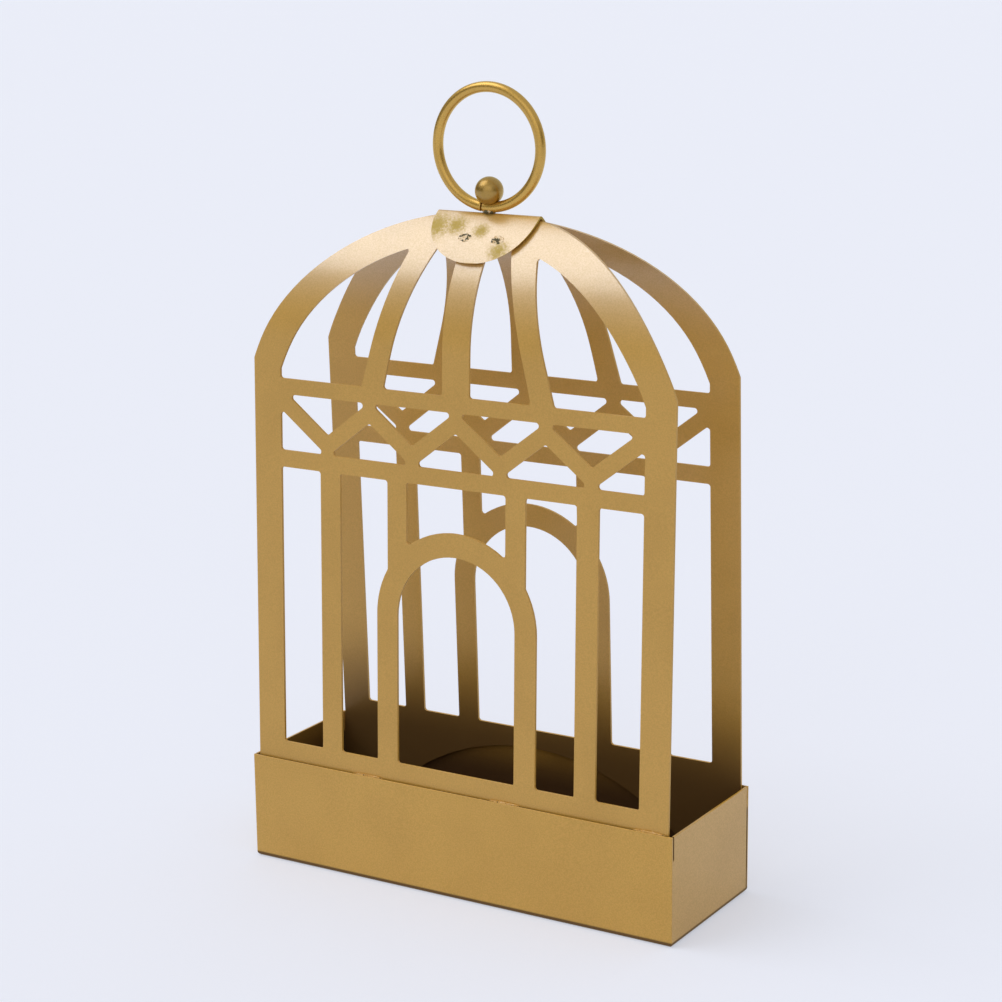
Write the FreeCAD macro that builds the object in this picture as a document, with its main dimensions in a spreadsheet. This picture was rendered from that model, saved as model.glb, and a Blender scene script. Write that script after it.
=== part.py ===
import FreeCAD, Part
import math
import os
import re
import Sketcher

# A flat bird-cage stand for cards. Two pierced sheet grilles stand in a folded tray, lean and curve
# in to a common ridge, and carry a folded cap with a wire ring and a ball on it.
# Millimetres and degrees. X runs along the front, Y to the back and Z up from under the tray's middle.

# Driving sizes. Heights on the panels are stacked, each one measured from the feature below it.
SIZES = {
    "tray_width": "140",
    "tray_depth": "47.2",
    "tray_height": "32",
    "tray_sheet": "0.7",
    "tray_bend": "1.2",
    "slit_width": "0.3",
    "front_slit_depth": "7",
    "back_slit_depth": "26",
    "panel_end_clearance": "1",
    "panel_sheet": "0.8",
    "panel_lean": "1.8",
    "seam_clearance": "0.2",
    "foot_arch_radius": "71",
    "foot_arch_below_rim": "0.2",
    "stile_width": "9.1",
    "sill_height": "5.5",
    "outer_bay_width": "13.75",
    "outer_rod_width": "6.7",
    "inner_rod_place": "19.4",
    "inner_rod_width": "6.3",
    "door_post_height": "43.7",
    "door_outer_radius": "26.2",
    "door_inner_radius": "19.4",
    "spandrel_height": "12.8",
    "lower_rail_width": "4.9",
    "zigzag_height": "16.4",
    "zigzag_neck": "5.7",
    "zigzag_end": "1.8",
    "zigzag_land": "0.7",
    "upper_rail_width": "4.5",
    "inner_shoulder_height": "2.8",
    "shoulder_height": "5.3",
    "bend_height": "11.1",
    "bend_radius": "47.5",
    "ridge_gap": "0.3",
    "dome_outer_radius": "65.8",
    "dome_inner_radius": "60.5",
    "crown_over_ridge": "0.3",
    "outer_gap_below_ridge": "8.65",
    "inner_gap_below_ridge": "5.5",
    "side_rib_outer_foot": "31.2",
    "side_rib_outer_tip": "20.4",
    "side_rib_inner_foot": "24",
    "side_rib_inner_tip": "10.9",
    "side_rib_bow": "227",
    "centre_rib_width": "8.7",
    "corner_radius": "0.9",
    "tip_radius": "0.7",
    "cap_sheet": "0.7",
    "cap_clearance": "0.45",
    "cap_disc_radius": "16.5",
    "cap_round": "1.2",
    "ring_diameter": "36",
    "ring_wire": "3",
    "ring_rise": "0.1",
    "ring_joint": "0.45",
    "ring_joint_turn": "8",
    "ball_diameter": "8",
    "ball_sink": "1",
    "weld_clearance": "0.05",
    "tack_length": "10",
    "tack_width": "0.7",
    "tack_height": "0.6",
    "tack_first": "-29.5",
    "tack_pitch": "46",
    "spot_length": "4.4",
    "spot_width": "3",
    "spot_height": "0.45",
    "spot_spacing": "10.5",
    "spot_shift": "1.6",
    "spot_below_ridge": "9.2",
    "bead_length": "4.8",
    "bead_width": "3.2",
    "bead_height": "2.4",
    "bead_seat": "0.4",
}

# Places and sizes that follow from the driving ones.
DERIVED = {
    "panel_face": "-(tray_depth / 2 - tray_sheet - seam_clearance)",
    "panel_half": "tray_width / 2 - tray_sheet - panel_end_clearance",
    "panel_foot": "tray_bend",
    "foot_arch_crown": "tray_height - foot_arch_below_rim",
    "foot_arch_half": "sqrt(foot_arch_crown * (2 * foot_arch_radius - foot_arch_crown))",
    "stile_edge": "panel_half - stile_width",
    "outer_rod_far": "stile_edge - outer_bay_width",
    "outer_rod_near": "outer_rod_far - outer_rod_width",
    "inner_rod_near": "inner_rod_place - inner_rod_width / 2",
    "inner_rod_far": "inner_rod_place + inner_rod_width / 2",
    "sill": "tray_height + sill_height",
    "door_spring": "sill + door_post_height",
    "door_shoulder": "door_spring + sqrt(door_outer_radius ^ 2 - inner_rod_near ^ 2)",
    "door_flare": "door_spring + sqrt(door_outer_radius ^ 2 - inner_rod_far ^ 2)",
    "lower_rail": "door_spring + door_outer_radius + spandrel_height",
    "lower_rail_top": "lower_rail + lower_rail_width",
    "upper_rail": "lower_rail_top + zigzag_height",
    "upper_rail_top": "upper_rail + upper_rail_width",
    "zigzag_pitch": "(stile_edge - zigzag_end) / 2",
    "zigzag_half": "(zigzag_pitch - zigzag_land) / 2",
    "zigzag_depth": "zigzag_height - zigzag_neck",
    "zigzag_last": "stile_edge - 2 * zigzag_pitch + zigzag_half",
    "inner_shoulder": "upper_rail_top + inner_shoulder_height",
    "shoulder": "upper_rail_top + shoulder_height",
    "bend_start": "upper_rail_top + bend_height",
    "bend_start_face": "panel_face + (bend_start - tray_height) * tan(panel_lean)",
    "bend_centre_y": "bend_start_face + bend_radius * cos(panel_lean)",
    "bend_centre_z": "bend_start - bend_radius * sin(panel_lean)",
    "ridge": "bend_centre_z + sqrt(bend_radius ^ 2 - (bend_centre_y + ridge_gap / 2) ^ 2)",
    "dome_crown": "ridge + crown_over_ridge",
    "outer_gap_tip": "ridge - outer_gap_below_ridge",
    "inner_gap_tip": "ridge - inner_gap_below_ridge",
    "centre_rib_edge": "centre_rib_width / 2",
    "cap_inner_radius": "bend_radius + cap_clearance",
    "cap_outer_radius": "cap_inner_radius + cap_sheet",
    "cap_ridge": "bend_centre_z + sqrt(cap_inner_radius ^ 2 - bend_centre_y ^ 2)",
    "cap_ridge_angle": "acos(bend_centre_y / cap_inner_radius)",
    "cap_edge_angle": "cap_ridge_angle - cap_disc_radius / cap_inner_radius * 1 rad",
    "cap_drop": "cap_ridge - bend_centre_z - cap_inner_radius * sin(cap_edge_angle)",
    "cap_round_radius": "cap_outer_radius - cap_round",
    "cap_top": "bend_centre_z + cap_round + sqrt(cap_round_radius ^ 2 - bend_centre_y ^ 2)",
    "ring_radius": "(ring_diameter - ring_wire) / 2",
    "ring_centre": "cap_top + ring_rise + ring_diameter / 2",
    "ball_centre": "ring_centre - ring_radius + ring_wire / 2 - ball_sink + ball_diameter / 2",
    "spot_angle": "cap_ridge_angle - spot_below_ridge / cap_outer_radius * 1 rad",
}

TACK_COUNT = 3
TINY = 0.001
CORNER_ANGLE = 5
VECTOR = FreeCAD.Vector
ORIGIN = (-1, 1)

doc = FreeCAD.newDocument("birdcage_card_stand")
sheet = doc.addObject("Spreadsheet::Sheet", "Sizes")


def fill_sheet():
    """Plain numbers first, then the cells worked out from them, one row each."""
    cells = dict(SIZES)
    cells.update({alias: f"={expression}" for alias, expression in DERIVED.items()})
    for row, (alias, content) in enumerate(cells.items(), start=1):
        sheet.set(f"A{row}", alias)
        sheet.set(f"B{row}", content)
        sheet.setAlias(f"B{row}", alias)
    doc.recompute()


def full(expression):
    """The expression with each size's name turned into a reference to its cell."""
    return re.sub(r"[a-z_]+", lambda word: cell(word[0]), expression)


def cell(word):
    return f"Sizes.{word}" if word in SIZES or word in DERIVED else word


def size(expression):
    """The number that an expression of sizes has now."""
    found = sheet.evalExpression(full(expression))
    return float(getattr(found, "Value", found))


def bind(item, **expressions):
    for target, expression in expressions.items():
        item.setExpression(target.replace("_", "."), full(expression))


def start_sketch(body, name, role):
    sketch = body.newObject("Sketcher::SketchObject", name)
    plane = origin_plane(body, role)
    sketch.AttachmentSupport = [(plane, "")]
    sketch.MapMode = "FlatFace"
    return sketch


def origin_plane(body, role):
    return next(item for item in body.Origin.OriginFeatures if item.Role == role)


def limit(sketch, kind, *place_and_expression):
    """A constraint whose value is bound to an expression of sizes."""
    *place, expression = place_and_expression
    index = sketch.addConstraint(Sketcher.Constraint(kind, *place, size(expression)))
    sketch.setExpression(f"Constraints[{index}]", full(expression))


def pin_point(sketch, point, across, up):
    limit(sketch, "DistanceX", *ORIGIN, *point, across)
    limit(sketch, "DistanceY", *ORIGIN, *point, up)


def join(sketch, *pairs):
    for first, second in pairs:
        sketch.addConstraint(Sketcher.Constraint("Coincident", *first, *second))


def bowed_edge(start, end, radius, turn):
    """Arc from start to end, less than a half circle; turn is 1 anticlockwise and -1 clockwise."""
    chord = end.sub(start)
    to_centre = VECTOR(-chord.y, chord.x, 0).normalize() * turn
    reach = math.sqrt(radius ** 2 - (chord.Length / 2) ** 2)
    centre = (start + end) * 0.5 + to_centre * reach
    first, last = (start, end) if turn > 0 else (end, start)
    first_angle = math.atan2(first.y - centre.y, first.x - centre.x)
    last_angle = math.atan2(last.y - centre.y, last.x - centre.x)
    if last_angle < first_angle:
        last_angle += 2 * math.pi
    return Part.ArcOfCircle(Part.Circle(centre, VECTOR(0, 0, 1), radius), first_angle, last_angle)


def closed_outline(sketch, corners, bows=None):
    """Closed loop through corners given as (across, up); bows maps a side to an arc's radius and turn."""
    bows = bows or {}
    points = [VECTOR(size(across), size(up), 0) for across, up in corners]
    starts = []
    ends = []
    for side, (across, up) in enumerate(corners):
        start = points[side]
        end = points[(side + 1) % len(points)]
        radius, turn = bows.get(side, (None, 1))
        curve = bowed_edge(start, end, size(radius), turn) if radius else Part.LineSegment(start, end)
        edge = sketch.addGeometry(curve)
        starts.append((edge, 1 if turn > 0 else 2))
        ends.append((edge, 2 if turn > 0 else 1))
        pin_point(sketch, starts[side], across, up)
        if radius:
            limit(sketch, "Radius", edge, radius)
    join(sketch, *zip(ends, starts[1:] + starts[:1]))


def pad_across(body, sketch, width):
    pad = body.newObject("PartDesign::Pad", f"{body.Name}_sheet")
    pad.Profile = sketch
    pad.SideType = "Symmetric"
    bind(pad, Length=width)
    return pad


def cut_through(body, sketch, reach, name):
    pocket = body.newObject("PartDesign::Pocket", f"{body.Name}_{name}")
    pocket.Profile = sketch
    pocket.SideType = "Symmetric"
    bind(pocket, Length=reach)
    return pocket


def mirror_across(body, feature):
    """The same feature on both sides of the middle plane."""
    mirrored = body.newObject("PartDesign::Mirrored", f"{feature.Name}_both_sides")
    mirrored.Originals = [feature]
    mirrored.MirrorPlane = (origin_plane(body, "YZ_Plane"), [""])
    body.Tip = mirrored
    return mirrored


def round_edges(body, base, edges, radius, name):
    fillet = body.newObject("PartDesign::Fillet", f"{body.Name}_{name}")
    fillet.Base = (base, edges)
    bind(fillet, Radius=radius)
    return fillet


def edge_names(shape, wanted):
    return [f"Edge{number}" for number, edge in enumerate(shape.Edges, start=1) if wanted(edge)]


def side_profile(body):
    """Panel seen from the end: upright foot, leaning grille, then an arc in to the ridge."""
    sketch = start_sketch(body, f"{body.Name}_profile", "YZ_Plane")
    sheet_gauge = size("panel_sheet")
    foot = VECTOR(size("panel_face"), size("panel_foot"), 0)
    rim = VECTOR(size("panel_face"), size("tray_height"), 0)
    bend = VECTOR(size("bend_start_face"), size("bend_start"), 0)
    top = VECTOR(size("-ridge_gap / 2"), size("ridge"), 0)
    inward = VECTOR(sheet_gauge, 0, 0)
    down = VECTOR(0, -sheet_gauge, 0)
    radius = size("bend_radius")
    outer_foot = sketch.addGeometry(Part.LineSegment(foot, rim))
    outer_lean = sketch.addGeometry(Part.LineSegment(rim, bend))
    outer_arc = sketch.addGeometry(bowed_edge(bend, top, radius, -1))
    top_edge = sketch.addGeometry(Part.LineSegment(top, top + down))
    inner_arc = sketch.addGeometry(bowed_edge(bend + inward, top + down, radius - sheet_gauge, -1))
    inner_lean = sketch.addGeometry(Part.LineSegment(bend + inward, rim + inward))
    inner_foot = sketch.addGeometry(Part.LineSegment(rim + inward, foot + inward))
    foot_edge = sketch.addGeometry(Part.LineSegment(foot + inward, foot))
    join(
        sketch,
        ((outer_foot, 2), (outer_lean, 1)),
        ((outer_arc, 1), (top_edge, 1)),
        ((top_edge, 2), (inner_arc, 1)),
        ((inner_lean, 2), (inner_foot, 1)),
        ((inner_foot, 2), (foot_edge, 1)),
        ((foot_edge, 2), (outer_foot, 1)),
        ((outer_arc, 3), (inner_arc, 3)),
    )
    sketch.addConstraint([
        Sketcher.Constraint("Tangent", outer_lean, 2, outer_arc, 2),
        Sketcher.Constraint("Tangent", inner_lean, 1, inner_arc, 2),
        Sketcher.Constraint("Parallel", outer_lean, inner_lean),
        Sketcher.Constraint("Vertical", outer_foot),
        Sketcher.Constraint("Vertical", inner_foot),
        Sketcher.Constraint("Vertical", top_edge),
        Sketcher.Constraint("Horizontal", foot_edge),
    ])
    pin_point(sketch, (outer_foot, 1), "panel_face", "panel_foot")
    pin_point(sketch, (outer_arc, 2), "bend_start_face", "bend_start")
    limit(sketch, "DistanceY", *ORIGIN, outer_foot, 2, "tray_height")
    limit(sketch, "DistanceX", *ORIGIN, outer_arc, 1, "-ridge_gap / 2")
    limit(sketch, "Distance", foot_edge, "panel_sheet")
    limit(sketch, "Radius", outer_arc, "bend_radius")
    limit(sketch, "Radius", inner_arc, "bend_radius - panel_sheet")
    return sketch


def panel_outline(sketch):
    """What is cut off outside the dome's arch and under the foot's arch, right half."""
    over_dome = "dome_crown + stile_width"
    closed_outline(
        sketch,
        [("panel_half", "shoulder"), ("0", "dome_crown"), ("0", over_dome),
         ("panel_half + stile_width", over_dome), ("panel_half + stile_width", "shoulder")],
        {0: ("dome_outer_radius", 1)},
    )
    closed_outline(
        sketch,
        [("0", "0"), ("foot_arch_half", "0"), ("0", "foot_arch_crown")],
        {1: ("foot_arch_radius", 1)},
    )


def grille_windows(sketch):
    """Door arch, spandrel and the two bays between the upright rods, right half."""
    closed_outline(
        sketch,
        [("0", "sill"), ("door_inner_radius", "sill"), ("door_inner_radius", "door_spring"),
         ("0", "door_spring + door_inner_radius")],
        {2: ("door_inner_radius", 1)},
    )
    closed_outline(
        sketch,
        [("0", "door_spring + door_outer_radius"), ("inner_rod_near", "door_shoulder"),
         ("inner_rod_near", "lower_rail"), ("0", "lower_rail")],
        {0: ("door_outer_radius", -1)},
    )
    closed_outline(
        sketch,
        [("door_outer_radius", "sill"), ("outer_rod_near", "sill"), ("outer_rod_near", "lower_rail"),
         ("inner_rod_far", "lower_rail"), ("inner_rod_far", "door_flare"),
         ("door_outer_radius", "door_spring")],
        {4: ("door_outer_radius", -1)},
    )
    closed_outline(
        sketch,
        [("outer_rod_far", "sill"), ("stile_edge", "sill"), ("stile_edge", "lower_rail"),
         ("outer_rod_far", "lower_rail")],
    )


def zigzag_windows(sketch):
    """Triangles left by the zigzag strip between the two rails, right half."""
    peak = "lower_rail_top + zigzag_depth"
    closed_outline(sketch, [("0", "lower_rail_top"), ("zigzag_half", "lower_rail_top"), ("0", peak)])
    closed_outline(
        sketch,
        [("zigzag_pitch - zigzag_half", "lower_rail_top"), ("zigzag_pitch + zigzag_half", "lower_rail_top"),
         ("zigzag_pitch", peak)],
    )
    closed_outline(
        sketch,
        [("stile_edge - zigzag_last", "lower_rail_top"), ("stile_edge", "lower_rail_top"),
         ("stile_edge", "lower_rail_top + zigzag_last * zigzag_depth / zigzag_half")],
    )
    for middle in ("zigzag_pitch / 2", "zigzag_pitch * 3 / 2"):
        closed_outline(
            sketch,
            [(middle, "upper_rail - zigzag_depth"), (f"{middle} + zigzag_half", "upper_rail"),
             (f"{middle} - zigzag_half", "upper_rail")],
        )


def dome_windows(sketch):
    """Gaps between the dome's ribs, right half; the inner one ends under the cap."""
    closed_outline(
        sketch,
        [("side_rib_outer_foot", "upper_rail_top"), ("stile_edge", "upper_rail_top"),
         ("stile_edge", "inner_shoulder"), ("side_rib_outer_tip", "outer_gap_tip")],
        {2: ("dome_inner_radius", 1)},
    )
    closed_outline(
        sketch,
        [("centre_rib_edge", "upper_rail_top"), ("side_rib_inner_foot", "upper_rail_top"),
         ("side_rib_inner_tip", "inner_gap_tip"), ("centre_rib_edge", "inner_gap_tip")],
        {1: ("side_rib_bow", 1)},
    )


def window_corners(shape):
    """Edges square through the sheet where two sides of a window meet at an angle, by their names."""
    corners = {}
    for number, edge in enumerate(shape.Edges, start=1):
        start = edge.Vertexes[0].Point
        end = edge.Vertexes[-1].Point
        square_through = max(abs(start.x - end.x), abs(start.z - end.z)) < TINY
        in_width = abs(start.x) < size("stile_edge") + TINY
        in_height = size("sill") - TINY < start.z < size("inner_gap_tip") + TINY
        if square_through and in_width and in_height and meets_at_angle(shape, edge, (start + end) * 0.5):
            corners[f"Edge{number}"] = start
    return corners


def meets_at_angle(shape, edge, point):
    faces = shape.ancestorsOfType(edge, Part.Face)
    normals = [face.normalAt(*face.Surface.parameter(point)) for face in faces]
    return math.degrees(normals[0].getAngle(normals[1])) > CORNER_ANGLE


def round_windows(body, pierced):
    """Rounded window corners, with a smaller radius in the outer dome gaps' narrow tips."""
    doc.recompute()
    tip_height = size("outer_gap_tip") - TINY
    inner_tip = size("inner_gap_tip") - TINY
    corners = window_corners(pierced.Shape)
    broad = [name for name, point in corners.items() if point.z < tip_height or point.z > inner_tip]
    rounded = round_edges(body, pierced, broad, "corner_radius", "rounded_corners")
    doc.recompute()
    corners = window_corners(rounded.Shape)
    tips = [name for name, point in corners.items() if abs(point.z - size("outer_gap_tip")) < TINY]
    return round_edges(body, rounded, tips, "tip_radius", "rounded_tips")


def make_panel(name, turn):
    """Pierced sheet panel; the back one is the same blank turned half round."""
    body = doc.addObject("PartDesign::Body", name)
    pad_across(body, side_profile(body), "2 * panel_half")
    cuts = start_sketch(body, f"{name}_cuts", "XZ_Plane")
    panel_outline(cuts)
    grille_windows(cuts)
    zigzag_windows(cuts)
    dome_windows(cuts)
    pierced = mirror_across(body, cut_through(body, cuts, "2 * tray_depth", "half_cuts"))
    round_windows(body, pierced)
    body.Placement = FreeCAD.Placement(VECTOR(0, 0, 0), FreeCAD.Rotation(VECTOR(0, 0, 1), turn))
    return body


def make_tray():
    """Folded tray: bent bottom edges, open top and corner seams that gape from the rim down."""
    body = doc.addObject("PartDesign::Body", "base_tray")
    floor = start_sketch(body, "base_tray_floor", "XY_Plane")
    half_width = "tray_width / 2"
    half_depth = "tray_depth / 2"
    closed_outline(
        floor,
        [(f"-{half_width}", f"-{half_depth}"), (half_width, f"-{half_depth}"),
         (half_width, half_depth), (f"-{half_width}", half_depth)],
    )
    block = body.newObject("PartDesign::Pad", "base_tray_block")
    block.Profile = floor
    bind(block, Length="tray_height")
    doc.recompute()
    bottom = edge_names(block.Shape, lambda edge: edge.BoundBox.ZMax < TINY)
    bent = round_edges(body, block, bottom, "tray_bend", "bends")
    doc.recompute()
    top = max(range(len(bent.Shape.Faces)), key=lambda number: bent.Shape.Faces[number].CenterOfMass.z)
    shell = body.newObject("PartDesign::Thickness", "base_tray_shell")
    shell.Base = (bent, [f"Face{top + 1}"])
    shell.Reversed = True
    bind(shell, Value="tray_sheet")
    slits = start_sketch(body, "base_tray_slits", "YZ_Plane")
    over_rim = "tray_height + front_slit_depth"
    for side, depth in (("-", "front_slit_depth"), ("", "back_slit_depth")):
        slit_foot = f"tray_height - {depth}"
        near = f"{side}({half_depth} - tray_sheet - slit_width)"
        far = f"{side}({half_depth} - tray_sheet)"
        closed_outline(slits, [(near, slit_foot), (far, slit_foot), (far, over_rim), (near, over_rim)])
    cut_through(body, slits, "2 * tray_width", "corner_slits")
    return body


def cap_profile(body):
    """Cap seen from the end: two arcs that follow the panels, meeting in a rounded ridge."""
    sketch = start_sketch(body, "ridge_cap_profile", "YZ_Plane")
    hem = "cap_ridge - cap_drop - cap_sheet"
    inner_hem = f"bend_centre_y - sqrt(cap_inner_radius ^ 2 - ({hem} - bend_centre_z) ^ 2)"
    outer_hem = f"bend_centre_y - sqrt(cap_outer_radius ^ 2 - ({hem} - bend_centre_z) ^ 2)"
    cap_peak = "bend_centre_z + sqrt(cap_outer_radius ^ 2 - bend_centre_y ^ 2)"
    closed_outline(
        sketch,
        [(inner_hem, hem), (outer_hem, hem), ("0", cap_peak),
         (f"-({outer_hem})", hem), (f"-({inner_hem})", hem), ("0", "cap_ridge")],
        {1: ("cap_outer_radius", -1), 2: ("cap_outer_radius", -1),
         4: ("cap_inner_radius", 1), 5: ("cap_inner_radius", 1)},
    )
    return sketch


def cap_trim(body):
    """Everything outside the folded disc, which the front view shows as an ellipse."""
    sketch = start_sketch(body, "ridge_cap_trim", "XZ_Plane")
    centre = VECTOR(0, size("cap_ridge"), 0)
    disc = sketch.addGeometry(Part.Ellipse(centre, size("cap_disc_radius"), size("cap_drop")))
    sketch.exposeInternalGeometry(disc)
    wide_axis = disc + 1
    high_axis = disc + 2
    sketch.addConstraint(Sketcher.Constraint("Horizontal", wide_axis))
    pin_point(sketch, (disc, 3), "0", "cap_ridge")
    limit(sketch, "Distance", wide_axis, "2 * cap_disc_radius")
    limit(sketch, "Distance", high_axis, "2 * cap_drop")
    wide = "2 * cap_disc_radius"
    closed_outline(
        sketch,
        [(f"-{wide}", f"cap_ridge - {wide}"), (wide, f"cap_ridge - {wide}"),
         (wide, f"cap_ridge + {wide}"), (f"-{wide}", f"cap_ridge + {wide}")],
    )
    return sketch


def make_cap():
    """Sheet disc folded over the ridge."""
    body = doc.addObject("PartDesign::Body", "ridge_cap")
    roof = pad_across(body, cap_profile(body), "2 * cap_disc_radius + 2 * cap_sheet")
    doc.recompute()
    peak = roof.Shape.BoundBox.ZMax
    ridge_edge = edge_names(roof.Shape, lambda edge: edge.BoundBox.ZMin > peak - TINY)
    round_edges(body, roof, ridge_edge, "cap_round", "rounded_ridge")
    cut_through(body, cap_trim(body), "2 * tray_depth", "disc")
    return body


def ring_solid(name, wire_radius):
    """Wire ring upright along the front, as a torus about Y."""
    ring = doc.addObject("Part::Torus", name)
    bind(ring, Radius1="ring_radius", Radius2=wire_radius, Placement_Base_z="ring_centre")
    ring.Placement.Rotation = FreeCAD.Rotation(VECTOR(1, 0, 0), 90)
    return ring


def make_ring():
    """Ring with a narrow butt joint beside its lowest point."""
    ring = ring_solid("carry_ring", "ring_wire / 2")
    joint_angle = "ring_joint / ring_radius * 1 rad"
    bind(ring, Angle3=f"360 deg - {joint_angle}")
    bottom_turn = FreeCAD.Rotation(VECTOR(0, 1, 0), 90 + size("ring_joint_turn"))
    ring.Placement.Rotation = bottom_turn.multiply(ring.Placement.Rotation)
    return ring


def cut_from(name, base, *tools):
    """The base piece with the shape of each tool taken away."""
    left = base
    for tool in tools:
        cut = doc.addObject("Part::Cut", f"{name}_less_{tool.Name}")
        cut.Base = left
        cut.Tool = tool
        left = cut
    left.Label = name
    return left


def make_ball(ring_seat):
    """Ball notched to sit on the ring's wire."""
    ball = doc.addObject("Part::Sphere", "ball_blank")
    bind(ball, Radius="ball_diameter / 2", Placement_Base_z="ball_centre")
    return cut_from("finial_ball", ball, ring_seat)


def make_ring_weld(ring_seat, cap):
    """Bead that fills the corner between the ridge and the ring."""
    bead = doc.addObject("Part::Ellipsoid", "bead_blank")
    bind(
        bead,
        Radius1="bead_height / 2",
        Radius2="bead_length / 2",
        Radius3="bead_width / 2",
        Placement_Base_z="cap_top - bead_seat + bead_height / 2",
    )
    return cut_from("ring_weld", bead, ring_seat, cap)


def make_seam_welds(name, turn):
    """Tack beads in the corner between the tray's rim and the panel's face."""
    tacks = []
    for number in range(TACK_COUNT):
        tack = doc.addObject("Part::Ellipsoid", f"{name}_{number + 1}")
        tack.Angle1 = 0
        tack.Angle3 = 180
        tack.Placement.Rotation = FreeCAD.Rotation(VECTOR(0, 0, 1), 180)
        bind(
            tack,
            Radius1="tack_height",
            Radius2="tack_length / 2",
            Radius3="tack_width",
            Placement_Base_x=f"tack_first + {number} * tack_pitch",
            Placement_Base_y="panel_face",
            Placement_Base_z="tray_height",
        )
        tacks.append(tack)
    group = doc.addObject("Part::Compound", name)
    group.Links = tacks
    group.Placement = FreeCAD.Placement(VECTOR(0, 0, 0), FreeCAD.Rotation(VECTOR(0, 0, 1), turn))
    return group


def make_cap_welds(cap):
    """Spot welds that stand a little proud of the cap, two on each flap."""
    spots = []
    for face, side in ((-1, -1), (-1, 1), (1, -1), (1, 1)):
        spot = doc.addObject("Part::Ellipsoid", f"spot_blank_{len(spots) + 1}")
        spot.Placement.Rotation = FreeCAD.Rotation(VECTOR(1, 0, 0), face * (size("spot_angle") - 90))
        bind(
            spot,
            Radius1="spot_height",
            Radius2="spot_length / 2",
            Radius3="spot_width / 2",
            Placement_Base_x=f"{side} * spot_spacing / 2 - {face} * spot_shift",
            Placement_Base_y=f"{face} * (cap_outer_radius * cos(spot_angle) - bend_centre_y)",
            Placement_Base_z="bend_centre_z + cap_outer_radius * sin(spot_angle)",
        )
        spots.append(cut_from(f"spot_{len(spots) + 1}", spot, cap))
    group = doc.addObject("Part::Compound", "cap_welds")
    group.Links = spots
    return group


def check(nodes):
    """Stop before anything is written if a feature failed or a piece is not sound."""
    for item in doc.Objects:
        if "Invalid" in item.State or "Error" in item.State:
            raise RuntimeError(f"{item.Label} failed: {item.State}")
    for node in nodes:
        if node.Shape.isNull() or not node.Shape.isValid() or not node.Shape.Solids:
            raise RuntimeError(f"{node.Label} is not a sound solid")


def main():
    fill_sheet()
    cap = make_cap()
    ring_seat = ring_solid("ring_seat", "ring_wire / 2 + weld_clearance")
    nodes = [
        make_tray(),
        make_panel("front_panel", 0),
        make_panel("back_panel", 180),
        cap,
        make_ring(),
        make_ball(ring_seat),
        make_ring_weld(ring_seat, cap),
        make_seam_welds("front_seam_welds", 0),
        make_seam_welds("back_seam_welds", 180),
        make_cap_welds(cap),
    ]
    doc.recompute()
    check(nodes)
    os.makedirs("parts", exist_ok=True)
    for node in nodes:
        node.Shape.exportStep(f"parts/{node.Label}.step")
        print(node.Label, len(node.Shape.Solids), round(node.Shape.Volume, 2))


main()
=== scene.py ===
import math

import bpy
from mathutils import Matrix, Vector


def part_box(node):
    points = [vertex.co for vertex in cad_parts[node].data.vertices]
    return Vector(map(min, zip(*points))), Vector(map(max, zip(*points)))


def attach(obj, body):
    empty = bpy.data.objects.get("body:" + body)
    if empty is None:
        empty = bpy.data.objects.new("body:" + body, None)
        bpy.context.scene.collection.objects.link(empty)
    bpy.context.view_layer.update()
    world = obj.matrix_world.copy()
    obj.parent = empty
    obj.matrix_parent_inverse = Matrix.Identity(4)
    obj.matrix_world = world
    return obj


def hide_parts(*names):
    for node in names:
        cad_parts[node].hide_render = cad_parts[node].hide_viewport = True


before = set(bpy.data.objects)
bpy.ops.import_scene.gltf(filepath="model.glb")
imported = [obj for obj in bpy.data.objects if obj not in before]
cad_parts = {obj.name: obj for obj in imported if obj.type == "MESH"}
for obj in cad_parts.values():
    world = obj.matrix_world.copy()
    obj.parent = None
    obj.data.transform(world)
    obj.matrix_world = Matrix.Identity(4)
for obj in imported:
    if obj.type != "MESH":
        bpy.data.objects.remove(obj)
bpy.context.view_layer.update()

# Folded tray: one blank of thin iron sheet, its four walls bent up round the floor.
# The corners are only butted, so they gape at the rim, and hand folding left the rim a little wavy.
# Inside, the coat is painted dark brown as shade, darkest towards the floor, with painted shade lines
# under the bottom edge, along the inner edge of the rim and in the corner slits.
TRAY_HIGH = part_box("base_tray")[1]
TRAY_SHEET = 0.0007
TRAY_BEND = 0.0012
TRAY_EDGE_ROUND = 0.00013
TRAY_GOLD = (0.665, 0.370, 0.050, 1)
TRAY_SHADE = (0.635, 0.350, 0.045, 1)
TRAY_COAT_INDEX = 1.68
DRY_FLAKE_INDEX = 1.5
GOLD = (0.610, 0.325, 0.052, 1)
GOLD_SHADE = (0.575, 0.304, 0.046, 1)
# Painted shade: the dark brown and its metallic value inside the tray and on the grilles' inner faces.
PAINTED_SHADE_BROWN = (0.112, 0.056, 0.029, 1)
PAINTED_SHADE_METALLIC = 0.9
FLAKE_TINT = (1.0, 0.95, 0.40, 1)


def start_piece():
    """Leave edit mode and select nothing, so that the next operator acts on the new piece alone."""
    if bpy.context.mode != "OBJECT":
        bpy.ops.object.mode_set(mode="OBJECT")
    bpy.ops.object.select_all(action="DESELECT")


def apply_modifier(piece, kind, **settings):
    modifier = piece.modifiers.new(kind.lower(), kind)
    for name, value in settings.items():
        setattr(modifier, name, value)
    bpy.ops.object.modifier_apply(modifier=modifier.name)


def smooth_faces(angle=35):
    """Smooth the selected piece, with edges sharper than the angle kept."""
    bpy.ops.object.shade_smooth_by_angle(angle=math.radians(angle))


def feed(tree, socket, value):
    """Link another node's output to a socket, or set a plain value on it."""
    if isinstance(value, bpy.types.NodeSocket):
        tree.links.new(value, socket)
    else:
        socket.default_value = value


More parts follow.
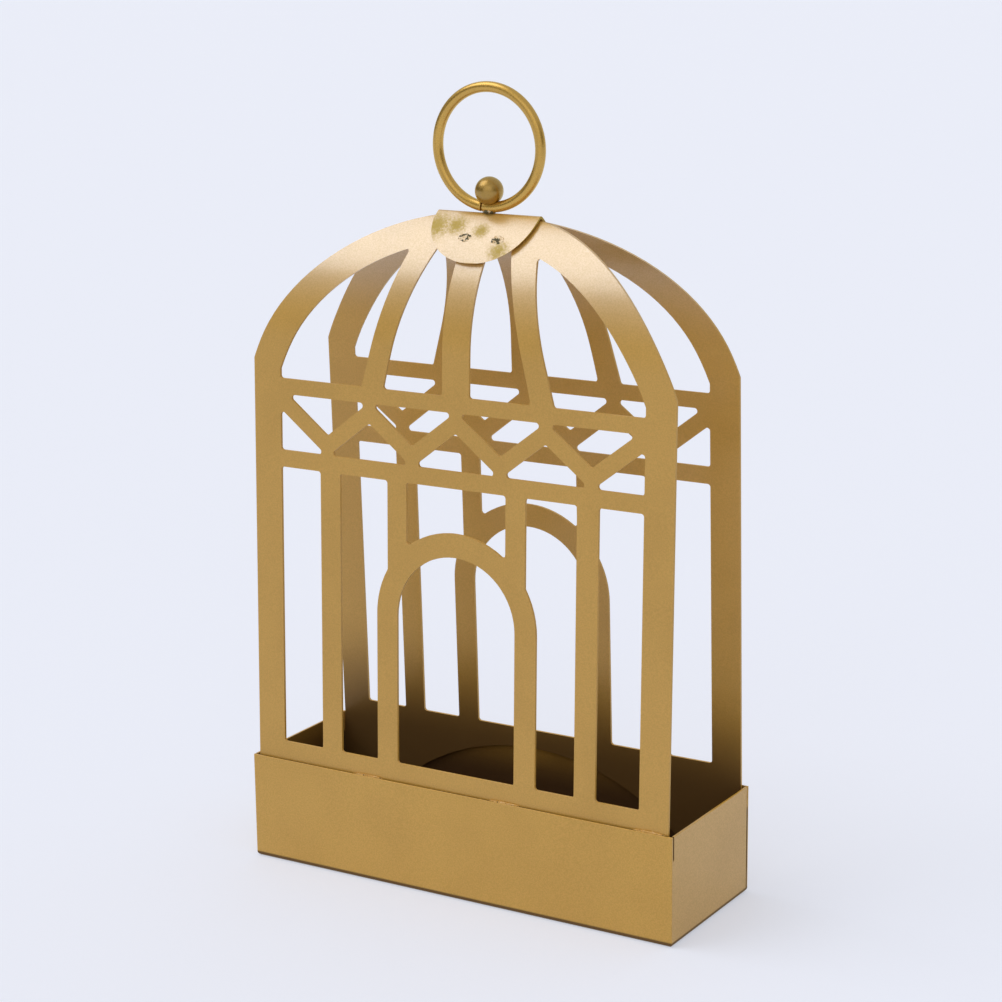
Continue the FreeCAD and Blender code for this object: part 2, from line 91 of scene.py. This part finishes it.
def add_node(tree, kind, place, **inputs):
    """A shader node at a place in the tree. Its inputs go by their names, or by in0, in1 and so on."""
    node = tree.nodes.new(f"ShaderNode{kind}")
    node.location = place
    for name, value in inputs.items():
        numbered = name.startswith("in") and name[2:].isdigit()
        feed(tree, node.inputs[int(name[2:]) if numbered else name], value)
    return node


def math_node(tree, operation, place, *values):
    node = add_node(tree, "Math", place, **{f"in{number}": value for number, value in enumerate(values)})
    node.operation = operation
    return node.outputs[0]


def times(tree, place, first, second, third):
    """The product of three shares."""
    both = math_node(tree, "MULTIPLY", (place[0] - 100, place[1] + 60), first, second)
    return math_node(tree, "MULTIPLY", place, both, third)


def mix_colour(tree, place, share, first, second):
    node = tree.nodes.new("ShaderNodeMix")
    node.data_type = "RGBA"
    node.location = place
    for number, value in ((0, share), (6, first), (7, second)):
        feed(tree, node.inputs[number], value)
    return node.outputs[2]


def step_up(tree, place, value, low, high):
    """0 below low and 1 above high, with a soft step between. With low above high, it falls instead."""
    node = add_node(tree, "MapRange", place, **{"Value": value, "From Min": low, "From Max": high})
    node.interpolation_type = "SMOOTHSTEP"
    return node.outputs[0]


def step_in(tree, place, value, outer, depths):
    """A soft step from the first to the second of two depths behind an outer face."""
    return step_up(tree, place, value, outer - depths[0], outer - depths[1])


def surface_xyz(tree, place, kind="Object"):
    """X, Y and Z of a texture coordinate: Object is each point's place, Normal the way that it faces."""
    coordinates = add_node(tree, "TexCoord", place).outputs[kind]
    return add_node(tree, "SeparateXYZ", (place[0] + 200, place[1]), Vector=coordinates).outputs


PATCH_SCALE = 38.0
PATCH_EDGE = (0.38, 0.66)
PATCH_DULLNESS = 0.04
SPARK_EDGE = (0.3, 0.7)
SPARK_LOW = 0.92
SPARK_LIFT = 0.16
SPARK_DULLNESS = 0.09
SPARK_GLOSS = 0.3


def spray_coat_group():
    """Metallic spray paint: fine flakes over a broad uneven coat, with duller dry patches."""
    tree = bpy.data.node_groups.new("spray_coat", "ShaderNodeTree")
    for name, kind in (("Paint", "Color"), ("Thin", "Color"),
                       ("Flake Size", "Float"), ("Dullness", "Float")):
        tree.interface.new_socket(name, in_out="INPUT", socket_type=f"NodeSocket{kind}")
    for name, kind in (("Color", "Color"), ("Roughness", "Float"),
                       ("Height", "Float"), ("Gloss", "Float")):
        tree.interface.new_socket(name, in_out="OUTPUT", socket_type=f"NodeSocket{kind}")
    given = tree.nodes.new("NodeGroupInput")
    given.location = (-900, 0)
    place = add_node(tree, "TexCoord", (-900, -250)).outputs["Object"]
    fineness = math_node(tree, "DIVIDE", (-700, -300), 1.0, given.outputs["Flake Size"])
    flakes = add_node(tree, "TexNoise", (-500, -300), Vector=place, Scale=fineness, Detail=2.0,
                      Roughness=0.6)
    broad = add_node(tree, "TexNoise", (-500, 50), Vector=place, Scale=PATCH_SCALE, Detail=4.0,
                     Roughness=0.55)
    patches = step_up(tree, (-300, 50), broad.outputs["Fac"], *PATCH_EDGE)
    coat = mix_colour(tree, (-100, 100), patches, given.outputs["Paint"], given.outputs["Thin"])
    spark = step_up(tree, (-300, -300), flakes.outputs["Fac"], *SPARK_EDGE)
    bright = math_node(tree, "MULTIPLY_ADD", (-100, -200), spark, SPARK_LIFT, SPARK_LOW)
    colour = add_node(tree, "VectorMath", (100, 60), in0=coat)
    colour.operation = "SCALE"
    feed(tree, colour.inputs["Scale"], bright)
    dull = math_node(tree, "MULTIPLY_ADD", (100, -150), patches, PATCH_DULLNESS,
                     given.outputs["Dullness"])
    rough = math_node(tree, "MULTIPLY_ADD", (260, -220), spark, SPARK_DULLNESS, dull)
    gloss = math_node(tree, "MULTIPLY_ADD", (260, -380), spark, SPARK_GLOSS, 1 - SPARK_GLOSS)
    out = tree.nodes.new("NodeGroupOutput")
    out.location = (480, 0)
    for name, value in (("Color", colour.outputs["Vector"]), ("Roughness", rough),
                        ("Height", flakes.outputs["Fac"]), ("Gloss", gloss)):
        feed(tree, out.inputs[name], value)
    return tree


spray_coat = spray_coat_group()
# Where the painted shade and the darker marks lie, the coat is also duller and less glossy.
MARK_AND_SHADE_DULLNESS = 0.18
MARK_AND_SHADE_GLOSS_LOSS = 0.9
FLAKE_BUMP = 0.3
FLAKE_DEPTH = 0.00006


def gold_paint(name, thin_mask=None, thin_colour=PAINTED_SHADE_BROWN, thin_metal=None, gloss_share=None,
               paint=GOLD, shade=GOLD_SHADE, flake=0.00042, dullness=0.56, metal=0.22, sheen=0.28,
               coat_index=2.9, flake_index=2.1):
    """Gold paint on sheet or wire. The mask function gives where the colour turns to the darker colour:
    painted shade on the tray, the grilles' inner faces and the cap's hem, and darker patches and pits on
    the cap and welds; gloss_share(tree) gives how wet the coat went on."""
    material = bpy.data.materials.new(name)
    material.use_nodes = True
    tree = material.node_tree
    shader = tree.nodes["Principled BSDF"]
    coat = tree.nodes.new("ShaderNodeGroup")
    coat.node_tree = spray_coat
    coat.location = (-700, 200)
    for socket, value in (("Paint", paint), ("Thin", shade),
                          ("Flake Size", flake), ("Dullness", dullness)):
        feed(tree, coat.inputs[socket], value)
    colour = coat.outputs["Color"]
    rough = coat.outputs["Roughness"]
    gloss = coat.outputs["Gloss"]
    if thin_mask:
        mask = thin_mask(tree)
        colour = mix_colour(tree, (-400, 300), mask, colour, thin_colour)
        rough = math_node(tree, "MULTIPLY_ADD", (-400, 0), mask, MARK_AND_SHADE_DULLNESS, rough)
        gloss_outside_mask = math_node(tree, "MULTIPLY_ADD", (-550, -200), mask, -MARK_AND_SHADE_GLOSS_LOSS, 1.0)
        gloss = math_node(tree, "MULTIPLY", (-400, -200), gloss, gloss_outside_mask)
        if thin_metal:
            metal = math_node(tree, "MULTIPLY_ADD", (-250, 0), mask, thin_metal - metal, metal)
    if gloss_share:
        gloss = math_node(tree, "MULTIPLY", (-250, -200), gloss, gloss_share(tree))
    bump = add_node(tree, "Bump", (-300, -350), Height=coat.outputs["Height"], Strength=FLAKE_BUMP,
                    Distance=FLAKE_DEPTH)
    for socket, value in (("Base Color", colour), ("Roughness", rough), ("Metallic", metal),
                          ("Coat Weight", gloss), ("Normal", bump.outputs["Normal"]),
                          ("Coat Roughness", sheen), ("Coat IOR", coat_index),
                          ("IOR", flake_index), ("Specular Tint", FLAKE_TINT)):
        feed(tree, shader.inputs[socket], value)
    return material


def finish_piece(piece, material, slot, *nodes):
    piece.data.materials.clear()
    piece.data.materials.append(material)
    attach(piece, "root")
    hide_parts(*nodes)


# Depths behind the tray's outer faces and below its rim, and heights over the table.
WALL_FACE_IN = (0.0005, 0.00065)
FLOOR_FACE_UP = (0.0004, 0.0006)
POCKET_FADE_DOWN = (-0.004, 0.012)
POCKET_LEAST = 0.45
POCKET_MORE = 0.5
UNDERSIDE_UP = (0.0017, 0.0011)
RIM_LINE_DOWN = (0.00025, 0.00005)
RIM_LINE_IN = (0.0001, 0.00035)
RIM_LINE_ENDS = (0.001, 0.0016)
SLIT_IN_FROM = (0.0013, 0.0011)
SLIT_IN_TO = (0.0004, 0.0006)
FRONT_SLIT_DOWN = (0.0072, 0.0064)
BACK_SLIT_DOWN = (0.0055, 0.007)
BACK_HALF = (-0.001, 0.001)
DARK_LINE = 0.85


def pocket_shade_mask(tree):
    """Painted shade inside the walls, darkest towards the floor, and painted shade under the bottom
    edge, in a line along the inner edge of the rim and in the slits at the corners."""
    xyz = surface_xyz(tree, (-1900, 500))
    height = xyz["Z"]
    across = math_node(tree, "ABSOLUTE", (-1500, 650), xyz["X"])
    deep = math_node(tree, "ABSOLUTE", (-1500, 500), xyz["Y"])
    inside = times(tree, (-1100, 500),
                   step_in(tree, (-1300, 650), across, TRAY_HIGH.x, WALL_FACE_IN),
                   step_in(tree, (-1300, 500), deep, TRAY_HIGH.y, WALL_FACE_IN),
                   step_up(tree, (-1300, 350), height, *FLOOR_FACE_UP))
    fade = step_in(tree, (-1300, 200), height, TRAY_HIGH.z, POCKET_FADE_DOWN)
    pocket_shade_depth = math_node(tree, "MULTIPLY_ADD", (-1100, 250), fade, POCKET_MORE, POCKET_LEAST)
    pocket = math_node(tree, "MULTIPLY", (-900, 450), inside, pocket_shade_depth)
    under = step_up(tree, (-1300, 50), height, *UNDERSIDE_UP)
    rim_line = times(tree, (-1100, -200),
                     step_in(tree, (-1300, -100), height, TRAY_HIGH.z, RIM_LINE_DOWN),
                     step_in(tree, (-1300, -250), deep, TRAY_HIGH.y, RIM_LINE_IN),
                     step_in(tree, (-1300, -400), across, TRAY_HIGH.x, RIM_LINE_ENDS))
    at_back = step_up(tree, (-1500, -1150), xyz["Y"], *BACK_HALF)
    at_front = math_node(tree, "SUBTRACT", (-1300, -1150), 1.0, at_back)
    front_slit = step_in(tree, (-1300, -850), height, TRAY_HIGH.z, FRONT_SLIT_DOWN)
    back_slit = step_in(tree, (-1300, -1000), height, TRAY_HIGH.z, BACK_SLIT_DOWN)
    slit_reach = math_node(tree, "ADD", (-900, -850),
                           math_node(tree, "MULTIPLY", (-1100, -1000), back_slit, at_back),
                           math_node(tree, "MULTIPLY", (-1100, -850), front_slit, at_front))
    slits = times(tree, (-800, -600),
                  step_in(tree, (-1300, -550), deep, TRAY_HIGH.y, SLIT_IN_FROM),
                  step_in(tree, (-1300, -700), deep, TRAY_HIGH.y, SLIT_IN_TO),
                  slit_reach)
    lines = math_node(tree, "MAXIMUM", (-900, -300), rim_line, slits)
    edge_shade = math_node(tree, "MAXIMUM", (-800, 300), under, lines)
    dark = math_node(tree, "MULTIPLY", (-700, 250), edge_shade, DARK_LINE)
    return math_node(tree, "MAXIMUM", (-600, 400), pocket, dark)


MERGE_REACH = 2e-6
SHARP_ANGLE = 40
EDGE_STEPS = 2


def fair_copy(node, name, edge_round, flat=0.3, bend=None):
    """A copy of a CAD piece with its loose triangles merged and its sharp edges rounded.
    Faces within flat degrees of each other become one, and bend(piece) may then shape the copy."""
    start_piece()
    piece = bpy.data.objects.new(name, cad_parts[node].data.copy())
    bpy.context.scene.collection.objects.link(piece)
    bpy.context.view_layer.objects.active = piece
    piece.select_set(True)
    bpy.ops.object.mode_set(mode="EDIT")
    bpy.ops.mesh.select_all(action="SELECT")
    bpy.ops.mesh.remove_doubles(threshold=MERGE_REACH)
    bpy.ops.mesh.dissolve_limited(angle_limit=math.radians(flat))
    if bend:
        bend(piece)
    bpy.ops.object.mode_set(mode="OBJECT")
    apply_modifier(piece, "BEVEL", width=edge_round, segments=EDGE_STEPS, limit_method="ANGLE",
                   angle_limit=math.radians(SHARP_ANGLE), use_clamp_overlap=True)
    smooth_faces()
    apply_modifier(piece, "WEIGHTED_NORMAL", keep_sharp=True)
    return piece


WAVE_HEIGHT = 0.00009
WAVE_STEP = 0.005
WAVE_STEPS_EACH_WAY = 12
WAVE_ROWS = (0.012, 0.022)
LONG_WAVE = 95
LONG_WAVE_START = 0.6
SHORT_WAVE = 233
SHORT_WAVE_START = 1.9
SHORT_WAVE_SHARE = 0.6
END_STIFFNESS = 6
RIM_LOOSENESS = 2


def wavy_rim(piece):
    """The long walls bow in and out a little towards the rim."""
    for step in range(-WAVE_STEPS_EACH_WAY, WAVE_STEPS_EACH_WAY + 1):
        bpy.ops.mesh.select_all(action="SELECT")
        bpy.ops.mesh.bisect(plane_co=(step * WAVE_STEP, 0, 0), plane_no=(1, 0, 0))
    for height in WAVE_ROWS:
        bpy.ops.mesh.select_all(action="SELECT")
        bpy.ops.mesh.bisect(plane_co=(0, 0, height), plane_no=(0, 0, 1))
    bpy.ops.object.mode_set(mode="OBJECT")
    for vertex in piece.data.vertices:
        x, y, z = vertex.co
        wave = math.sin(x * LONG_WAVE + LONG_WAVE_START)
        wave += SHORT_WAVE_SHARE * math.sin(x * SHORT_WAVE + SHORT_WAVE_START)
        ends_held = 1 - (x / TRAY_HIGH.x) ** END_STIFFNESS
        on_long_wall = abs(y) > TRAY_HIGH.y - 2 * TRAY_SHEET
        if on_long_wall and z > TRAY_BEND:
            vertex.co.y += WAVE_HEIGHT * wave * ends_held * (z / TRAY_HIGH.z) ** RIM_LOOSENESS
    bpy.ops.object.mode_set(mode="EDIT")


folded_tray = fair_copy("base_tray", "folded_tray", TRAY_EDGE_ROUND, bend=wavy_rim)
tray_gold = gold_paint("tray_gold", pocket_shade_mask, thin_metal=PAINTED_SHADE_METALLIC, paint=TRAY_GOLD,
                       shade=TRAY_SHADE, coat_index=TRAY_COAT_INDEX, flake_index=DRY_FLAKE_INDEX)
finish_piece(folded_tray, tray_gold, "tray_paint", "base_tray")

# Front and back grilles: the same blank twice, pierced from thin sheet and rolled in at the top.
# The cut edges were sprayed with the faces and are a little rounded by the paint.
# Inside, the face turned in is painted dark as shade, darker still down in the tray.
GRILLE_EDGE_ROUND = 0.00018
INWARD_EDGE = (0.3, 0.8)
FADE_TOP = 0.066
FADE_FOOT = TRAY_HIGH.z - 0.004
FADE_LEAST = 0.03
FADE_MORE = 0.79
DRY_TOP = 0.158
WET_FOOT = 0.182
DRY_GLOSS = 0.2


def inner_face_shade_mask(inward):
    """Painted shade on the face turned to the inside, darker still down in the tray. inward is that
    face's way along Y, 1 or -1."""
    def mask(tree):
        facing = surface_xyz(tree, (-1900, 650), "Normal")["Y"]
        height = surface_xyz(tree, (-1900, 400))["Z"]
        turned_in = math_node(tree, "MULTIPLY", (-1500, 650), facing, inward)
        inner_face = step_up(tree, (-1300, 650), turned_in, *INWARD_EDGE)
        fade = step_up(tree, (-1300, 400), height, FADE_TOP, FADE_FOOT)
        share = math_node(tree, "MULTIPLY_ADD", (-1100, 400), fade, FADE_MORE, FADE_LEAST)
        return math_node(tree, "MULTIPLY", (-900, 500), inner_face, share)
    return mask


def dry_below_dome(tree):
    """The spray landed drier on the upright part than on the dome."""
    height = surface_xyz(tree, (-1900, -500))["Z"]
    wet = step_up(tree, (-1500, -500), height, DRY_TOP, WET_FOOT)
    return math_node(tree, "MULTIPLY_ADD", (-1300, -500), wet, 1 - DRY_GLOSS, DRY_GLOSS)


for panel, name, inward in (("front_panel", "front_grille", 1), ("back_panel", "back_grille", -1)):
    grille = fair_copy(panel, name, GRILLE_EDGE_ROUND)
    grille_gold = gold_paint(f"{name}_gold", inner_face_shade_mask(inward), thin_metal=PAINTED_SHADE_METALLIC,
                             gloss_share=dry_below_dome)
    finish_piece(grille, grille_gold, "panel_paint", panel)

# Saddle cap: a sheet disc folded over the ridge where the two grilles meet, and spot welded to them.
# Its flaps follow the curve of the grilles, and its hem's cut edge is painted darker as shade.
# Ragged patches of the coat are a darker brown-gold.
CAP_EDGE_ROUND = 0.00014
CAP_FLAT = 0.02
# The darker brown-gold of the patches, also used as painted shade on the hem.
PATCH_AND_HEM_SHADE_GOLD = (0.50, 0.33, 0.030, 1)
DARK_PATCHES = (
    ((-0.0145, -0.0050, 0.1910), 0.0058),
    ((0.0084, -0.0098, 0.1860), 0.0037),
    ((0.0005, -0.0055, 0.1905), 0.0030),
    ((-0.0080, -0.0046, 0.1914), 0.0041),
    ((0.0120, 0.0060, 0.1905), 0.0042),
    ((-0.0050, 0.0110, 0.1850), 0.0030),
)
DARK_PATCH_EDGE = (2.3, 1.25)
PATCH_AND_HEM_SHADE_SHARE = 0.97
RAGGED_SCALE = 1500.0
RAGGEDNESS = 2.2
FLAP_OUT = 0.75
FLAP_UP = 0.66
HEM_EDGE = (0.6, 0.35)


def hem_shade_mask(tree):
    """Painted shade on the cut edge all round the cap: what doesn't face straight out of either flap."""
    facing = surface_xyz(tree, (-1900, -900), "Normal")
    flap_side = math_node(tree, "SIGN", (-1500, -1100), surface_xyz(tree, (-1900, -1100))["Y"])
    outward = math_node(tree, "MULTIPLY", (-1350, -1000), facing["Y"], flap_side)
    outward = math_node(tree, "MULTIPLY", (-1200, -1000), outward, FLAP_OUT)
    straight_out = math_node(tree, "MULTIPLY_ADD", (-1050, -1000), facing["Z"], FLAP_UP, outward)
    either_face = math_node(tree, "ABSOLUTE", (-900, -1000), straight_out)
    return step_up(tree, (-750, -1000), either_face, *HEM_EDGE)


def dark_patches_and_hem_shade(tree):
    """Ragged darker brown-gold patches, and painted shade on the cap's hem."""
    place = add_node(tree, "TexCoord", (-1900, 500)).outputs["Object"]
    ragged = add_node(tree, "TexNoise", (-1600, 800), Vector=place, Scale=RAGGED_SCALE, Detail=5.0,
                      Roughness=0.75).outputs["Fac"]
    share = hem_shade_mask(tree)
    for number, (centre, reach) in enumerate(DARK_PATCHES):
        row = 500 - 200 * number
        away = add_node(tree, "VectorMath", (-1600, row), in0=place, in1=centre)
        away.operation = "DISTANCE"
        near = math_node(tree, "DIVIDE", (-1400, row), away.outputs["Value"], reach)
        ragged_near = math_node(tree, "MULTIPLY_ADD", (-1250, row), ragged, RAGGEDNESS, near)
        patch = step_up(tree, (-1100, row), ragged_near, *DARK_PATCH_EDGE)
        share = math_node(tree, "MAXIMUM", (-900, row), share, patch)
    return math_node(tree, "MULTIPLY", (-700, 500), share, PATCH_AND_HEM_SHADE_SHARE)


saddle_cap = fair_copy("ridge_cap", "saddle_cap", CAP_EDGE_ROUND, flat=CAP_FLAT)
cap_gold = gold_paint("cap_gold", dark_patches_and_hem_shade, thin_colour=PATCH_AND_HEM_SHADE_GOLD)
finish_piece(saddle_cap, cap_gold, "cap_paint", "ridge_cap")

# Wire ring: round iron wire bent to a circle, its ends butted just beside the lowest point.
# It stands upright on the cap, in line with the front, and is welded on at the joint.
RING_LOW, RING_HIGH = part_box("carry_ring")
RING_CENTRE = (RING_LOW + RING_HIGH) / 2
WIRE_RADIUS = (RING_HIGH.y - RING_LOW.y) / 2
RING_RADIUS = (RING_HIGH.x - RING_LOW.x) / 2 - WIRE_RADIUS
WIRE_SIDES = 28
RING_STEPS = 168
JOINT_TURN = math.radians(5.4)
JOINT_GAP = 0.00045
JOINT_ANGLE = JOINT_GAP / RING_RADIUS
WIRE_MERGE_REACH = 1e-6
WIRE_END_ROUND = 0.00018
WIRE_END_ANGLE = 50
WIRE_PAINT = {"paint": (0.64, 0.375, 0.062, 1), "shade": (0.56, 0.325, 0.052, 1), "flake": 0.0003,
              "dullness": 0.24, "metal": 0.85, "sheen": 0.20, "coat_index": 1.5}


def place_in_mesh():
    """Put the new piece's place, turn and size into its mesh."""
    bpy.ops.object.transform_apply(location=True, rotation=True, scale=True)


start_piece()
wire_start = math.radians(-90) - JOINT_TURN - JOINT_ANGLE / 2
start_point = RING_CENTRE + Vector((math.cos(wire_start), 0, math.sin(wire_start))) * RING_RADIUS
bpy.ops.mesh.primitive_circle_add(vertices=WIRE_SIDES, radius=WIRE_RADIUS, fill_type="NGON",
                                  location=start_point, rotation=(0, -wire_start, 0))
wire_ring = bpy.context.object
wire_ring.name = "wire_ring"
place_in_mesh()
bpy.ops.object.mode_set(mode="EDIT")
bpy.ops.mesh.select_all(action="SELECT")
bpy.ops.mesh.spin(steps=RING_STEPS, angle=2 * math.pi - JOINT_ANGLE, center=RING_CENTRE, axis=(0, 1, 0))
bpy.ops.mesh.select_all(action="SELECT")
bpy.ops.mesh.remove_doubles(threshold=WIRE_MERGE_REACH)
bpy.ops.mesh.normals_make_consistent(inside=False)
bpy.ops.object.mode_set(mode="OBJECT")
apply_modifier(wire_ring, "BEVEL", width=WIRE_END_ROUND, segments=EDGE_STEPS, limit_method="ANGLE",
               angle_limit=math.radians(WIRE_END_ANGLE))
smooth_faces()
finish_piece(wire_ring, gold_paint("ring_gold", **WIRE_PAINT), "ring_paint", "carry_ring")

# Ball: a solid bead of the same metal, seated on the wire over the joint.
# It was sprayed together with the ring and came out a shade darker.
BALL_EDGE_ROUND = 0.00006
BALL_PAINT = {**WIRE_PAINT, "paint": (0.40, 0.230, 0.036, 1), "shade": (0.35, 0.200, 0.031, 1),
              "dullness": 0.3}
ball_bead = fair_copy("finial_ball", "ball_bead", BALL_EDGE_ROUND)
finish_piece(ball_bead, gold_paint("ball_gold", **BALL_PAINT), "ball_paint", "finial_ball")

# Weld metal: short tacks along the tray's rims, spots on the cap's flaps and a bead under the ring.
# Each is a rough lump that was sprayed over, with dark pits that the paint didn't reach.
PIT_BROWN = (0.045, 0.028, 0.014, 1)
PIT_EDGE = (0.5, 0.56)
WELD_FLAKE = 0.0003
LUMP_ROUNDNESS = 5
LUMP_SMOOTHNESS = 60
lump_noise = bpy.data.textures.new("weld_lumps", "CLOUDS")
lump_noise.noise_scale = 0.0006
lump_noise.noise_depth = 3


def weld_lump(name, centre, half_sizes, roughness, tilt=(0, 0, 0)):
    """One lump of weld metal, an uneven flattened drop."""
    start_piece()
    bpy.ops.mesh.primitive_ico_sphere_add(subdivisions=LUMP_ROUNDNESS, radius=1, location=centre,
                                          rotation=tilt, scale=half_sizes)
    lump = bpy.context.object
    lump.name = name
    place_in_mesh()
    apply_modifier(lump, "DISPLACE", texture=lump_noise, strength=roughness, mid_level=0.5)
    smooth_faces(LUMP_SMOOTHNESS)
    return lump


def join_lumps(lumps, name):
    start_piece()
    for lump in lumps:
        lump.select_set(True)
    bpy.context.view_layer.objects.active = lumps[0]
    bpy.ops.object.join()
    lumps[0].name = name
    return lumps[0]


def weld_gold(name, pit_shift, pit_size, **paint):
    """Gold paint with dark pits in the lump. A lower pit_shift gives more of them."""
    def pits(tree):
        place = add_node(tree, "TexCoord", (-1900, 500)).outputs["Object"]
        holes = add_node(tree, "TexNoise", (-1600, 500), Vector=place, Scale=1 / pit_size, Detail=3.0,
                         Roughness=0.6)
        return step_up(tree, (-1300, 500), holes.outputs["Fac"],
                       PIT_EDGE[0] + pit_shift, PIT_EDGE[1] + pit_shift)
    return gold_paint(name, pits, flake=WELD_FLAKE, thin_colour=PIT_BROWN, **paint)


TACK_COUNT = 3
TACK_HALF_SIZES = (0.005, 0.00045, 0.00042)
TACK_ROUGHNESS = 0.00045
TACK_OUT = 0.00025
TACK_PAINT = {"pit_shift": 0.10, "pit_size": 0.0008, "coat_index": 1.75, "flake_index": DRY_FLAKE_INDEX}


def seam_tacks(name, node):
    """Tacks on one rim, each where its CAD bead is."""
    low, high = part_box(node)
    rim_y = high.y - TACK_OUT if low.y < 0 else low.y + TACK_OUT
    first = low.x + TACK_HALF_SIZES[0]
    last = high.x - TACK_HALF_SIZES[0]
    lumps = []
    for number in range(TACK_COUNT):
        across = first + (last - first) * number / (TACK_COUNT - 1)
        lumps.append(weld_lump(f"{name}_{number}", (across, rim_y, TRAY_HIGH.z), TACK_HALF_SIZES,
                               TACK_ROUGHNESS))
    return join_lumps(lumps, name)


front_tacks = seam_tacks("front_tacks", "front_seam_welds")
finish_piece(front_tacks, weld_gold("front_tack_gold", **TACK_PAINT), "weld_paint", "front_seam_welds")
back_tacks = seam_tacks("back_tacks", "back_seam_welds")
finish_piece(back_tacks, weld_gold("back_tack_gold", **TACK_PAINT), "weld_paint", "back_seam_welds")

SPOT_HALF_SIZES = (0.0021, 0.0014, 0.00014)
SPOT_HALF_SPACING = 0.00525
SPOT_SHIFT = 0.0016
SPOT_OUT = 0.00718
SPOT_HEIGHT = 0.18838
SPOT_TILT = math.radians(48)
SPOT_ROUGHNESS = 0.0005
spot_lumps = []
for face in (-1, 1):
    for side in (-1, 1):
        spot_place = (side * SPOT_HALF_SPACING - face * SPOT_SHIFT, face * SPOT_OUT, SPOT_HEIGHT)
        spot_lumps.append(weld_lump(f"spot_{face}_{side}", spot_place, SPOT_HALF_SIZES, SPOT_ROUGHNESS,
                                    tilt=(-face * SPOT_TILT, 0, 0)))
cap_spots = join_lumps(spot_lumps, "cap_spots")
spot_gold = weld_gold("spot_gold", pit_shift=-0.03, pit_size=0.0013)
finish_piece(cap_spots, spot_gold, "weld_paint", "cap_welds")

BEAD_LOW, BEAD_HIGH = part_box("ring_weld")
BEAD_CENTRE = (BEAD_LOW + BEAD_HIGH) / 2
BEAD_HALF_SIZES = (BEAD_HIGH - BEAD_LOW) / 2
BEAD_ROUGHNESS = 0.0005
ring_bead = weld_lump("ring_bead", BEAD_CENTRE, BEAD_HALF_SIZES, BEAD_ROUGHNESS)
bead_gold = weld_gold("bead_gold", pit_shift=-0.1, pit_size=0.0009)
finish_piece(ring_bead, bead_gold, "weld_paint", "ring_weld")

# Studio: a pale floor that fills the view, a broad soft light from the upper left and a wide front fill.
# The room is pale overhead and behind the object and dim towards the camera.
FLOOR_SIZE = 60
FLOOR_PALE = (0.49, 0.50, 0.555, 1)
FLOOR_ROUGHNESS = 0.9
FLOOR_SPECULAR = 0.1
FLOOR_GLOW = (0.88, 0.91, 1.0, 1)
FLOOR_GLOW_LEVEL = 0.44
NO_GLOW = (0, 0, 0, 1)
start_piece()
bpy.ops.mesh.primitive_plane_add(size=FLOOR_SIZE, location=(0, 0, 0))
floor = bpy.context.object
floor.name = "studio_floor"
floor_paper = bpy.data.materials.new("studio_paper")
floor_paper.use_nodes = True
floor_tree = floor_paper.node_tree
floor_shader = floor_tree.nodes["Principled BSDF"]
rays = add_node(floor_tree, "LightPath", (-900, -300)).outputs
seen = math_node(floor_tree, "MAXIMUM", (-700, -300), rays["Is Camera Ray"], rays["Is Glossy Ray"])
seen = math_node(floor_tree, "MAXIMUM", (-550, -350), seen, rays["Is Transmission Ray"])
glow = mix_colour(floor_tree, (-250, -300), seen, NO_GLOW, FLOOR_GLOW)
for socket, value in (("Base Color", FLOOR_PALE), ("Roughness", FLOOR_ROUGHNESS),
                      ("Specular IOR Level", FLOOR_SPECULAR), ("Emission Color", glow),
                      ("Emission Strength", FLOOR_GLOW_LEVEL)):
    feed(floor_tree, floor_shader.inputs[socket], value)
floor.data.materials.append(floor_paper)

ROOM_DIM = (0.20, 0.195, 0.19, 1)
ROOM_PALE = (0.98, 0.99, 1.0, 1)
ROOM_LEVEL = 0.67
OVERHEAD_EDGE = (0.1, 0.65)
BEHIND_EDGE = (0.15, 0.7)
world = bpy.data.worlds.new("studio")
bpy.context.scene.world = world
world.use_nodes = True
room = world.node_tree
room_way = surface_xyz(room, (-900, 0), "Generated")
overhead = step_up(room, (-500, 0), room_way["Z"], *OVERHEAD_EDGE)
behind = step_up(room, (-500, -300), room_way["Y"], *BEHIND_EDGE)
pale_share = math_node(room, "MAXIMUM", (-400, 0), overhead, behind)
room_colour = mix_colour(room, (-300, 0), pale_share, ROOM_DIM, ROOM_PALE)
feed(room, room.nodes["Background"].inputs["Color"], room_colour)
feed(room, room.nodes["Background"].inputs["Strength"], ROOM_LEVEL)


def soft_light(name, towards_lamp, strength, spread):
    """Broad light from far away: towards_lamp points from the object to it, and spread is in degrees."""
    lamp = bpy.data.lights.new(name, "SUN")
    lamp.energy = strength
    lamp.angle = math.radians(spread)
    lamp_object = bpy.data.objects.new(name, lamp)
    lamp_object.rotation_euler = Vector(towards_lamp).to_track_quat("Z", "Y").to_euler()
    bpy.context.scene.collection.objects.link(lamp_object)


soft_light("key_light", towards_lamp=(-0.513, -0.27, 0.815), strength=0.86, spread=45)
soft_light("front_fill", towards_lamp=(0.32, -0.93, 0.12), strength=0.76, spread=76)

CAMERA_PLACE = (0.37325, -0.60911, 0.28778)
CAMERA_TURN = 31.316
CAMERA_DOWN = 13.783
CAMERA_ROLL = -0.639
camera = bpy.data.cameras.new("photo_camera")
camera.sensor_width = 36
camera.lens = 93.04
camera_object = bpy.data.objects.new("photo_camera", camera)
turn = Matrix.Rotation(math.radians(CAMERA_TURN), 4, "Z")
tilt = Matrix.Rotation(math.radians(90 - CAMERA_DOWN), 4, "X")
roll = Matrix.Rotation(math.radians(CAMERA_ROLL), 4, "Z")
camera_object.matrix_world = Matrix.Translation(CAMERA_PLACE) @ turn @ tilt @ roll
bpy.context.scene.collection.objects.link(camera_object)
bpy.context.scene.camera = camera_object
bpy.context.scene.view_settings.view_transform = "Standard"
